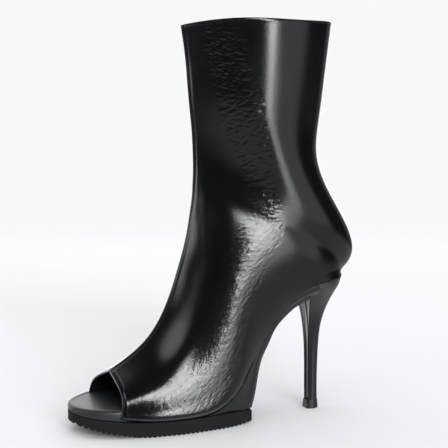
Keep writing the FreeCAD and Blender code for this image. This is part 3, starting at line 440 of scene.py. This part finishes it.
def addCreases(points, normals, u, v, style, share=1.0):
    # short raised folds scattered through the creased band, each lying along the band's slope there
    lift = np.zeros(points.shape[:2])
    mask = creaseMask(u, v)
    rows, cols = lift.shape
    chance = mask / mask.sum()
    picks = rng.choice(rows * cols, int(style["count"] * share), p=chance.ravel())
    for pick in picks:
        r, c = divmod(int(pick), cols)
        slope = math.radians(np.interp(u[r, c], creasedBand[:, 0], creasedBand[:, 4])
                             + rng.normal(0, 13))
        heading = np.array([math.cos(slope), 0.0, math.sin(slope)])
        normal = normals[r, c]
        heading -= normal * (heading @ normal)
        heading /= np.linalg.norm(heading)
        across = np.cross(normal, heading)
        r0, r1, c0, c1 = max(r - 12, 0), r + 13, max(c - 12, 0), c + 13
        gap = points[r0:r1, c0:c1] - points[r, c]
        ahead = gap @ heading
        side = gap @ across + 0.05 * ahead ** 2 * rng.normal(0, 1)
        length = style["length"] * rng.uniform(0.5, 1.3)
        width = style["width"] * rng.uniform(0.8, 1.3)
        fold = np.exp(-(ahead / length) ** 2 * 2) * np.exp(-(side / width) ** 2)
        lift[r0:r1, c0:c1] += fold * rng.uniform(0.4, 1.0) * (1 if rng.random() < 0.6 else -1)
    return lift * style["height"] * np.clip(mask * 1.5, 0, 1)


seamLook = {"ridge": 0.22, "ridgeAt": 2.2, "foldRise": 0.28, "foldWidth": 2.2}


def seamRelief(points, u, v):
    # the allowance beside the front and back seams stands up a little, as do the folded edges
    fromFront = np.abs(points[..., 1])
    beside = np.exp(-((fromFront - seamLook["ridgeAt"]) / 1.1) ** 2) * seamLook["ridge"]
    beside *= (v < 0.3) | ((v > 0.8) & (u > heelRear))
    fromToe = np.abs(u) * 17.0
    fold = np.exp(-((fromToe - 0.9) / 1.0) ** 4) * seamLook["foldRise"]
    fromTop = (top - u) * np.interp(v, [0, 1], [14, 35])
    fold += np.exp(-((fromTop - 0.6) / 0.9) ** 4) * 0.12
    dent = np.exp(-((fromTop - 1.9) / 0.45) ** 2) * 0.1 + np.exp(-((fromToe - 2.5) / 0.5) ** 2) * 0.12
    return beside + fold - dent


# ---- the zip's own place, from its joints
zipUp = -np.array(joints["zip_slide"]["axis"], float)
zipAcross = np.array(joints["puller_swing"]["axis"], float)
zipOut = np.cross(zipUp, zipAcross)
zipHinge = np.array(joints["puller_swing"]["pos_m"], float)
zipSizes = {"hingeUp": 118.42, "hingeOut": 3.3, "slotHalf": 4.5, "foot": 0.4}
zipFoot = zipHinge - zipOut * zipSizes["hingeOut"] * mm - zipUp * zipSizes["hingeUp"] * mm
zipAxes = np.stack([zipAcross, zipOut, zipUp])


def intoZip(points):            # drawn millimetres to the zip's frame in millimetres
    return (toFrame(points) - zipFoot) @ zipAxes.T / mm


def slottedGrid(form, uLine, columns, half, foot):
    # columns and rows follow the sides and the foot of the zip slot, so its edges are clean
    fine = np.linspace(0.2, 0.9, 141)
    vLow, vHigh, uStart = [], [], 8.4
    for u in uLine:
        across = intoZip(form(np.full_like(fine, max(u, uStart)), fine))[:, 0]
        vLow.append(np.interp(-half, across, fine))
        vHigh.append(np.interp(half, across, fine))
    vLow, vHigh = np.array(vLow)[:, None], np.array(vHigh)[:, None]
    a, b, c = columns
    vFront, vBack = 0.0036, 0.9965
    v = np.concatenate([vFront + (vLow - vFront) * np.linspace(0, 1, a + 1)[:-1],
                        vLow + (vHigh - vLow) * np.linspace(0, 1, b + 1)[:-1],
                        vHigh + (vBack - vHigh) * np.linspace(0, 1, c + 1)], 1)
    u = np.repeat(uLine[:, None], v.shape[1], 1)
    middle = a + b // 2
    heights = intoZip(form(u[:, middle], v[:, middle]))[:, 2]
    above = uLine > uStart
    footU = np.interp(foot, heights[above], uLine[above])
    footRow = int(np.abs(uLine - footU).argmin())
    u += footU - uLine[footRow]     # a row passes through the foot at the slot's middle
    slopeV = v[footRow]
    probe = np.linspace(footU - 0.6, footU + 0.6, 61)
    shift = np.zeros(v.shape[1])
    for j in range(a - 2, a + b + 3):
        column = intoZip(form(probe, np.full_like(probe, slopeV[j])))[:, 2]
        shift[j] = np.interp(foot, column, probe) - footU
    left, right = shift[a - 2], shift[a + b + 2]
    fade = 14
    for k in range(1, fade):
        ease = 0.5 + 0.5 * math.cos(math.pi * k / fade)
        shift[a - 2 - k], shift[a + b + 2 + k] = left * ease, right * ease
    near = np.clip(1 - np.abs(uLine - footU) / 1.1, 0, 1)[:, None]
    u = np.clip(u + shift[None, :] * near * near * (3 - 2 * near), 0.026, top - 0.02)
    kept = np.ones((len(uLine) - 1, v.shape[1] - 1), bool)
    kept[footRow:, a:a + b] = False
    return u, v, kept


# ---- the upper's two quarters

foldDepth = 1.25


def easeCounter(points, u, v):      # the stiffened heel runs smoothly from its wall down to the seat
    near = np.clip(1.3 - np.abs(u - 8.05), 0, 1) * np.clip((v - 0.5) / 0.2, 0, 1)
    near = (near * np.clip((0.995 - v) / 0.06, 0, 1))[1:-1, :, None]
    eased = points.copy()
    passes = int(2 * (0.2 * len(points) / top) ** 2)
    for _ in range(passes):
        eased[1:-1] += 0.25 * near * (eased[:-2] - 2 * eased[1:-1] + eased[2:])
    return eased


def quarterPanel(name, side, grid, stands, depths=(0.0, 1.2), share=1.0, relief=True,
                 material=upperLeather, slotCut=None, lip=0.45):
    rows, cols = grid
    form, inside = lastForm(side, depths[0]), lastForm(side, depths[1])
    uLine = np.linspace(0.026 if relief else 0.12, top - (0.02 if relief else 0.09), rows)
    if slotCut:
        u, v, kept = slottedGrid(form, uLine, slotCut["columns"], zipSizes["slotHalf"] + lip,
                                 zipSizes["foot"] - lip)
    else:
        u, v = np.meshgrid(uLine, np.linspace(0.0036, 0.9965, cols), indexing="ij")
        kept = None
    face, back = form(u, v), inside(u, v)
    if relief:      # the leather is folded in round the stay at the opening and along the topline
        fold = np.clip(1 - u / 0.14, 0, 1) + np.clip(1 - (top - u) / 0.1, 0, 1)
        inwards = (back - face) / np.linalg.norm(back - face, axis=-1, keepdims=True)
        back = back + inwards * (np.sqrt(np.clip(fold, 0, 1)) * foldDepth)[..., None]
    face, back = easeCounter(face, u, v), easeCounter(back, u, v)
    mask = creaseMask(u, v) * share
    if relief:
        normals = gridNormals(face, side)
        lift = seamRelief(face, u, v) + addCreases(face, normals, u, v, creaseStyle, share) * share
        face = face + normals * lift[..., None]
    points, faces, used = closedPanel(face, back, lip, kept)
    piece = makePiece(name, points, faces, material, "boot", stands)
    creased = np.zeros(used.max() + 1)
    creased[:mask.size] = mask.ravel()
    attribute = piece.data.attributes.new("crease", "FLOAT", "POINT")
    attribute.data.foreach_set("value", creased[used].astype(np.float32))
    return piece


outerQuarter = quarterPanel("outerQuarter", outer, (460, 190), ["outer_quarter"])
innerQuarter = quarterPanel("innerQuarter", inner, (300, 0), ["inner_quarter"],
                            share=0.45, slotCut={"columns": (46, 12, 66)})
print("upper quarters made")

# ---- linings: they start just under the leather's edge
for side, name, stands in ((outer, "outerLining", ["outer_lining"]), (inner, "innerLining",
                                                                      ["inner_lining"])):
    quarterPanel(name, side, (150, 60), stands, (1.75, 2.55), relief=False,
                 material=liningLeather, lip=0.3,
                 slotCut={"columns": (24, 8, 32)} if side == inner else None)


# ---- heel and waist, covered in the same leather
def smoothLine(points, count):      # evenly spread parameters along a smooth line through points
    points = np.array(points, float)
    steps = np.linalg.norm(np.diff(points, axis=0), axis=1)
    knots = np.concatenate([[0], np.cumsum(steps)])
    return smoothThrough(knots, points)(np.linspace(0, knots[-1], count))


def skinRows(rows, closed=False):       # faces joining rows of points, front row to last row
    rows = np.asarray(rows)
    count, width = rows.shape[:2]
    index = np.arange(count * width).reshape(count, width)
    if closed:
        index = np.concatenate([index, index[:, :1]], 1)
    quads = np.stack([index[:-1, :-1], index[1:, :-1], index[1:, 1:], index[:-1, 1:]], -1)
    return rows.reshape(-1, 3), quads.reshape(-1, 4)


waistLook = {       # station, then the point of the underside that lies beneath it
    "under": ((2.4, 78.0, 10.2), (3.0, 96.0, 10.4), (3.5, 108.0, 10.2), (4.0, 121.5, 9.9),
              (4.2, 126.6, 16.0), (4.5, 130.6, 32.0), (5.0, 138.3, 55.3), (5.5, 148.5, 72.3),
              (6.0, 158.8, 82.9), (6.5, 169.0, 88.7), (6.95, 180.0, 92.0)),
    "sole": ((125.0, 11.0), (127.0, 17.0), (129.4, 28.0), (134.8, 48.6), (140.0, 58.3), (146.2, 69.6),
             (153.8, 78.2), (161.4, 84.7), (168.0, 88.3), (176.0, 91.0)),
    "square": ((2.4, 0.03), (4.0, 0.05), (5.0, 0.34), (6.86, 0.42)),    # how round the corners are
}


def makeWaist():
    under = np.array(waistLook["under"])
    stationLine = np.linspace(2.4, 6.95, 150)
    bottom = smoothThrough(under[:, 0], under[:, 1:])(stationLine)
    square = np.interp(stationLine, *np.array(waistLook["square"]).T)
    rows = []
    turn = np.linspace(0, math.pi / 2, 15)
    for u, low, power in zip(stationLine, bottom, square):
        ring = []
        for side in (outer, inner):
            edge = outside[side](np.array([u]), np.array([1.0]))[0]
            half = abs(edge[1]) - 0.25
            sink = np.sin(turn) ** 0.9
            wide = half * np.cos(turn).clip(0, 1) ** power
            wide[-1] = 0
            curve = np.stack([edge[0] + (low[0] - edge[0]) * sink, side * wide,
                              edge[2] - 0.1 + (low[1] - edge[2] + 0.1) * sink], 1)
            ring.append(curve if side == outer else curve[::-1][1:])
        rows.append(np.concatenate(ring))
    points, faces = skinRows(rows)
    makePiece("waistWrap", points, faces[:, ::-1], coverLeather, "boot",
              ["waist_wrap"])
    path = smoothLine(waistLook["sole"], 90)
    along = np.gradient(path, axis=0)
    down = np.stack([along[:, 1], -along[:, 0]], 1)
    down /= np.linalg.norm(down, axis=1, keepdims=True)
    widths = np.interp(path[:, 0], (125, 136, 147, 160, 175), (21.5, 19.5, 18, 16.5, 13))
    across = np.linspace(-1, 1, 31)
    skins = []
    for depth in (1.05, -0.2):
        line = path + down * depth
        skins.append(np.stack([np.repeat(line[:, :1], 31, 1), widths[:, None] * across,
                               np.repeat(line[:, 1:], 31, 1)], 2))
    points, faces, _ = closedPanel(skins[0], skins[1], 0.3)
    makePiece("waistSole", points, faces, upperLeather, "boot", ["waist_sole"])


heelLook = {        # height, front, back, half width of the covered heel, foot to seat
    "levels": ((6.45, 181.7, 190.8, 5.0), (20, 181.5, 190.6, 5.0), (37, 181.4, 190.9, 5.2),
               (57, 180.9, 192.0, 6.2), (70.4, 180.2, 194.2, 8.4), (80.5, 179.2, 197.5, 12.0),
               (91, 177.4, 201.9, 18.5), (98, 176.8, 205.4, 23.6)),
    "hollow": 1.3, "stripHalf": 3.4, "seatFrom": 6.7,
}


def heelRing(front, back, half, share, hollow):     # one level: hollow front, rounded sides and back
    deep, corner = back - front, half * (0.74 + 0.2 * share)
    side = smoothLine([(front, corner), (front + 0.3 * deep, half), (front + 0.78 * deep, 0.74 * half),
                       (back, 0.0)], 30)
    side[-1, 1] = 0
    across = np.linspace(-corner, corner, 16)[1:-1]
    breast = np.stack([front + hollow * (1 - (across / corner) ** 2), across], 1)
    outerSide = side * (1, -1)
    return np.concatenate([breast, side, outerSide[::-1][1:]])


def makeHeel():
    levels = np.array(heelLook["levels"])
    heights = np.linspace(levels[0, 0], levels[-1, 0], 70)
    shaped = smoothThrough(levels[:, 0], levels[:, 1:])(heights)
    rows = []
    for height, (front, back, half) in zip(heights, shaped):
        share = np.clip((height - 50) / 45, 0, 1)
        ring = heelRing(front, back, half, share, heelLook["hollow"] * (1 - share))
        rows.append(np.concatenate([ring, np.full((len(ring), 1), height)], 1))
    u = np.linspace(heelLook["seatFrom"], heelRear, 30)
    seatSide = outside[outer](u, np.ones(30))
    seatInner = outside[inner](u, np.ones(30))
    for seatEdge in (seatSide, seatInner):      # just outside the upper's edge, so no gap shows
        seatEdge += (0.1, 0, 0.45)
        seatEdge[:, 1] *= 1.012
    corner = seatSide[0]
    across = np.linspace(corner[1], seatInner[0][1], 16)[1:-1]
    breast = np.stack([np.full(14, corner[0]), across, np.full(14, corner[2] - 1)], 1)
    seatRing = np.concatenate([breast, seatInner, seatSide[::-1][1:]])
    lean = rows[-1] - rows[-8]
    for share in np.linspace(0, 1, 13)[1:]:     # the last stretch flares out to the seat line
        straight = rows[69] + lean * share * 0.9
        rows.append(straight * (1 - share) ** 1.4 + seatRing * (1 - (1 - share) ** 1.4))
    points, faces = skinRows(rows, closed=True)
    makePiece("heelCover", points, faces, coverLeather, "boot", ["heel_cover"])
    across = np.linspace(-1, 1, 15)
    face, back = [], []
    for height, (front, _, half) in zip(heights[:-8], shaped[:-8]):
        share = np.clip((height - 50) / 45, 0, 1)
        corner = half * (0.74 + 0.2 * share)
        wide = min(heelLook["stripHalf"], corner - 0.25) * across
        hollow = heelLook["hollow"] * (1 - share) * (1 - (wide / corner) ** 2)
        face.append(np.stack([front - 0.4 + hollow, wide, np.full(15, height)], 1))
        back.append(face[-1] + (0.7, 0, 0))
    points, faces, _ = closedPanel(np.array(face), np.array(back), 0.3)
    makePiece("breastCover", points, faces, upperLeather, "boot", ["breast_cover"])


# ---- platform cover: leather turned round the edge of the platform in the peep toe
platformLook = {
    "plan": ((30.0, 33.4), (20.5, 33.2), (12.2, 32.2), (4.5, 26.2), (-3.5, 17.5), (-8.0, 5.5),
             (-8.7, -2.5), (-6.4, -12.0), (2.0, -22.5), (12.0, -28.0), (20.2, -30.4), (30.0, -31.6)),
    "rubberTop": ((-9.2, 16.4), (8.0, 14.0), (23.0, 12.2), (42.0, 10.7)), "top": 21.2,
    "rim": ((-0.9, 0.0), (-0.25, 0.04), (0.15, 0.16), (0.3, 0.4), (0.15, 0.62), (-0.35, 0.8),
            (-1.2, 0.93), (-2.3, 0.99), (-3.6, 1.0)),
}


def makePlatformCover():
    look = platformLook
    plan = smoothLine(look["plan"], 150)
    along = np.gradient(plan, axis=0)
    away = np.stack([-along[:, 1], along[:, 0]], 1)
    away /= np.linalg.norm(away, axis=1, keepdims=True)
    if away[75] @ (-1, 0) < 0:
        away = -away
    low = np.interp(plan[:, 0], *np.array(look["rubberTop"]).T) + 0.12
    rim = smoothLine(look["rim"], 22)
    rows = [np.concatenate([plan + away * out, (low + (look["top"] - low) * up)[:, None]], 1)
            for out, up in rim]
    points, faces = skinRows(rows)
    makePiece("platformCover", points, faces, sockLeather, "boot",
              ["platform_cover"])


# ---- stitches
def makeStitches(name, rows, pitch=2.6, length=1.9, radius=0.24):
    points, faces = [], []
    turns = np.linspace(0, 2 * math.pi, 7)[:-1]
    bulge = ((-0.5, 0.0), (-0.42, 0.7), (-0.15, 1.0), (0.15, 1.0), (0.42, 0.7), (0.5, 0.0))
    for path, normals in rows:
        steps = np.concatenate([[0], np.cumsum(np.linalg.norm(np.diff(path, axis=0), axis=1))])
        for middle in np.arange(pitch / 2, steps[-1] - pitch / 2, pitch):
            at = [np.array([np.interp(middle + d, steps, path[:, k]) for k in range(3)])
                  for d in (-length / 2, 0, length / 2)]
            normal = np.array([np.interp(middle, steps, normals[:, k]) for k in range(3)])
            heading = (at[2] - at[0]) / np.linalg.norm(at[2] - at[0])
            across = np.cross(normal, heading)
            start = len(points)
            for place, size in bulge:
                centre = at[1] + heading * place * length
                for turn in turns:
                    points.append(centre + size * radius * (across * math.cos(turn)
                                                            + normal * 0.8 * math.sin(turn)))
            for ring in range(5):
                for k in range(6):
                    a, b = start + ring * 6 + k, start + ring * 6 + (k + 1) % 6
                    faces.append((a, b, b + 6, a + 6))
    return makePiece(name, np.array(points), faces, stitchThread, "boot")


def seamPath(side, u, v):
    points = outside[side](u, v)
    step = 1e-3
    du = outside[side](u + step, v) - points
    dv = outside[side](u, np.clip(v + step, 0, 1)) - outside[side](u, np.clip(v - step, 0, 1))
    normals = np.cross(du, dv) * -side
    normals /= np.maximum(np.linalg.norm(normals, axis=1, keepdims=True), 1e-9)
    return points, normals


def makeAllStitches():
    v = np.linspace(0.02, 0.985, 260)
    topDrop = np.interp(v, [0, 1], [14, 35])
    rows = [seamPath(side, top - 1.75 / topDrop, v) for side in (outer, inner)]
    makeStitches("toplineStitches", rows)
    rows = [seamPath(side, np.full(260, 0.15), v) for side in (outer, inner)]
    makeStitches("openingStitches", rows, 2.4, 1.7, 0.22)
    fine = np.linspace(0.2, 0.9, 141)
    rows = []
    for offset in (-7.4, 7.4):
        line = []
        for u in np.linspace(9.0, top - 0.05, 160):
            across = intoZip(outside[inner](np.full_like(fine, u), fine))
            v = np.interp(offset, across[:, 0], fine)
            if np.interp(offset, across[:, 0], across[:, 2]) > -2:
                line.append((u, v))
        line = np.array(line)
        rows.append(seamPath(inner, line[:, 0], line[:, 1]))
    makeStitches("zipStitches", rows)


makeWaist()
makeHeel()

# CAD nodes that are kept, with their finish
kept = {
    "outsole": soleRubber, "platform": finishes["dyedEvaPlatform"], "waist_core": finishes["dyedEvaPlatform"],
    "insole_board": finishes["mouldedFibreboard"], "forefoot_cushion": finishes["latexFoam"],
    "shank": finishes["springSteel"], "shank_rivets": finishes["springSteel"],
    "sock_lining": sockLeather, "heel_core": finishes["mouldedPolystyrene"],
    "heel_tube": finishes["springSteel"],
    "heel_tip": finishes["polishedHeelRubber"], "heel_tip_pin": finishes["springSteel"],
    "heel_screw": finishes["springSteel"], "heel_nails": finishes["springSteel"],
    "opening_stay": finishes["wovenPolyesterTape"], "heel_counter": finishes["mouldedPolystyrene"],
    "front_seam_tape": finishes["nonwovenStiffener"], "back_seam_tape": finishes["nonwovenStiffener"],
    "zip_tape_front": finishes["wovenPolyesterTape"], "zip_tape_back": finishes["wovenPolyesterTape"],
    "zip_teeth_front": finishes["blackAcetalTeeth"], "zip_teeth_back": finishes["blackAcetalTeeth"],
    "zip_top_stops": finishes["blackNickelZinc"], "zip_bottom_stop": finishes["blackNickelZinc"],
    "zip_guard": liningLeather, "zip_slider": finishes["blackNickelZinc"],
    "zip_puller": finishes["blackNickelZinc"], "topline_facing": liningLeather,
}
softened = {"outsole": 0.3, "heel_tip": 0.35, "zip_slider": 0.18, "zip_puller": 0.22,
            "zip_teeth_front": 0.18, "zip_teeth_back": 0.18, "zip_top_stops": 0.3,
            "zip_bottom_stop": 0.3}
for name, material in kept.items():
    node = nodes[name]
    node.data.materials.clear()
    node.data.materials.append(material)
    if name in softened:
        weld = node.modifiers.new("weld", "WELD")
        weld.merge_threshold = 0.005 * mm
        bevel = node.modifiers.new("softenedEdges", "BEVEL")
        bevel.width = softened[name] * mm
        bevel.segments = 2
        bevel.limit_method = "ANGLE"
        bevel.angle_limit = math.radians(40)
        bevel.harden_normals = False
makePlatformCover()
makeAllStitches()
print("CAD pieces finished")

# ---- studio: pale floor, soft lights, camera
scene = bpy.context.scene
scene.view_settings.view_transform = "Standard"

studio = {"floorWidth": 14.0, "floor": "#e2e4e6", "backdrop": 0.95, "dome": 1.0}


def makeFloor():
    size = studio["floorWidth"] / 2
    mesh = bpy.data.meshes.new("floor")
    ring = [(size * math.cos(a), size * math.sin(a), -0.02 * mm)
            for a in np.linspace(0, 2 * math.pi, 65)[:-1]]
    mesh.from_pydata(ring, [], [tuple(range(64))])
    floor = bpy.data.objects.new("floor", mesh)
    scene.collection.objects.link(floor)
    material, tree, shader, place = newMaterial("mattStudioPaper", Roughness=0.9)
    shader.inputs["Specular IOR Level"].default_value = 0.1
    shader.inputs["Base Color"].default_value = hexColour(studio["floor"])
    distance = addNode(tree, "ShaderNodeVectorMath", {0: place}, operation="LENGTH")
    fade = addNode(tree, "ShaderNodeMapRange", {
        "Value": distance.outputs["Value"], "From Min": 0.35, "From Max": 1.5},
        interpolation_type="SMOOTHSTEP")
    clear = addNode(tree, "ShaderNodeBsdfTransparent")
    mixed = addNode(tree, "ShaderNodeMixShader", {
        0: fade.outputs["Result"], 1: shader.outputs[0], 2: clear.outputs[0]})
    tree.links.new(mixed.outputs[0], tree.nodes["Material Output"].inputs["Surface"])
    mesh.materials.append(material)
    floor.visible_glossy = False


makeFloor()

# soft patches of the room: azimuth (0 looks back along -Y, 90 along +X), height, half width of the
# patch, softness, all in degrees, and brightness
roomPatches = (
    (-87, 7, 3, 4, 0.9), (-82, 38, 8, 14, 2.0), (-108, 5, 9, 4, 3.0), (43, 3, 13, 9, 0.85),
    (126, 5, 14, 12, 0.2), (160, 10, 18, 12, 2.4), (-165, 10, 24, 12, 1.6), (150, 55, 24, 16, 1.6),
    (-17, 30, 2, 7, 8.0), (-6, 28, 3, 7, 16.0), (5, 20, 3, 7, 18.0), (13, 9, 3, 7, 18.0),
    (19, 0, 2, 7, 12.0), (26, -8, 2, 8, 3.5),
)


def makeRoom():
    world = bpy.data.worlds.new("softStudio")
    scene.world = world
    world.use_nodes = True
    tree = world.node_tree
    tree.nodes.clear()
    way = addNode(tree, "ShaderNodeTexCoord").outputs["Generated"]
    height = addNode(tree, "ShaderNodeSeparateXYZ", {0: way})
    ground = addNode(tree, "ShaderNodeMapRange", {
        "Value": height.outputs["Z"], "From Min": -0.32, "From Max": -0.06, "To Min": 0.5,
        "To Max": 0.03}, interpolation_type="SMOOTHSTEP")
    below = addNode(tree, "ShaderNodeMapRange", {
        "Value": height.outputs["Z"], "From Min": -0.8, "From Max": -0.5, "To Min": 0.5,
        "To Max": 0.0}, interpolation_type="SMOOTHSTEP")
    total = addNode(tree, "ShaderNodeMath", {
        0: ground.outputs["Result"], 1: below.outputs["Result"]}, operation="ADD").outputs[0]
    for azimuth, rise, width, soft, bright in roomPatches:
        a, e = math.radians(azimuth), math.radians(rise)
        towards = (math.sin(a) * math.cos(e), -math.cos(a) * math.cos(e), math.sin(e))
        facing = addNode(tree, "ShaderNodeVectorMath", {0: way, 1: towards}, operation="DOT_PRODUCT")
        patch = addNode(tree, "ShaderNodeMapRange", {
            "Value": facing.outputs["Value"], "From Min": math.cos(math.radians(width + soft)),
            "From Max": math.cos(math.radians(width)), "To Min": 0.0, "To Max": bright},
            interpolation_type="SMOOTHSTEP")
        total = addNode(tree, "ShaderNodeMath", {0: total, 1: patch.outputs["Result"]},
                        operation="MAXIMUM").outputs[0]
    room = addNode(tree, "ShaderNodeBackground", {"Strength": total})
    room.inputs["Color"].default_value = hexColour("#f9fbff")
    seen = addNode(tree, "ShaderNodeBackground", {"Strength": studio["backdrop"]})
    seen.inputs["Color"].default_value = hexColour("#fdfefe")
    path = addNode(tree, "ShaderNodeLightPath")
    dome = addNode(tree, "ShaderNodeBackground", {"Strength": studio["dome"]})
    soft = addNode(tree, "ShaderNodeMixShader", {
        0: path.outputs["Is Diffuse Ray"], 1: room.outputs[0], 2: dome.outputs[0]})
    mixed = addNode(tree, "ShaderNodeMixShader", {
        0: path.outputs["Is Camera Ray"], 1: soft.outputs[0], 2: seen.outputs[0]})
    output = addNode(tree, "ShaderNodeOutputWorld", {"Surface": mixed.outputs[0]})
    output.is_active_output = True


makeRoom()

# panels of light: place, what they face, width, height, watts, and whether they light the floor
panels = {
    "overhead": ((-0.2, -0.3, 1.6), (0.0, 0.0, 0.1), 1.6, 1.6, 4.3, True),
    "rearWash": ((0.4, 1.3, 0.9), (0.0, 0.0, 0.1), 1.4, 0.9, 0.6, True),
}
for name, (place, aim, width, height, watts, everywhere) in panels.items():
    light = bpy.data.lights.new(name, "AREA")
    light.shape = "RECTANGLE"
    light.size, light.size_y = width, height
    light.energy = watts
    lamp = bpy.data.objects.new(name, light)
    scene.collection.objects.link(lamp)
    lamp.location = place
    lamp.rotation_mode = "QUATERNION"
    lamp.rotation_quaternion = (Vector(aim) - Vector(place)).to_track_quat("-Z", "Y")
    lamp.visible_camera = False
    if everywhere:
        lamp.visible_glossy = False
    else:
        lamp.visible_diffuse = False

camera = bpy.data.objects.new("camera", bpy.data.cameras.new("camera"))
scene.collection.objects.link(camera)
camera.location = (-0.3026, -0.7910, 0.2388)
camera.rotation_mode = "QUATERNION"
camera.rotation_quaternion = (Vector((0.0075, -0.0018, 0.1478)) - camera.location).to_track_quat("-Z", "Y")
camera.data.lens = 91.1
camera.data.clip_start = 0.01
scene.camera = camera
print("studio made")
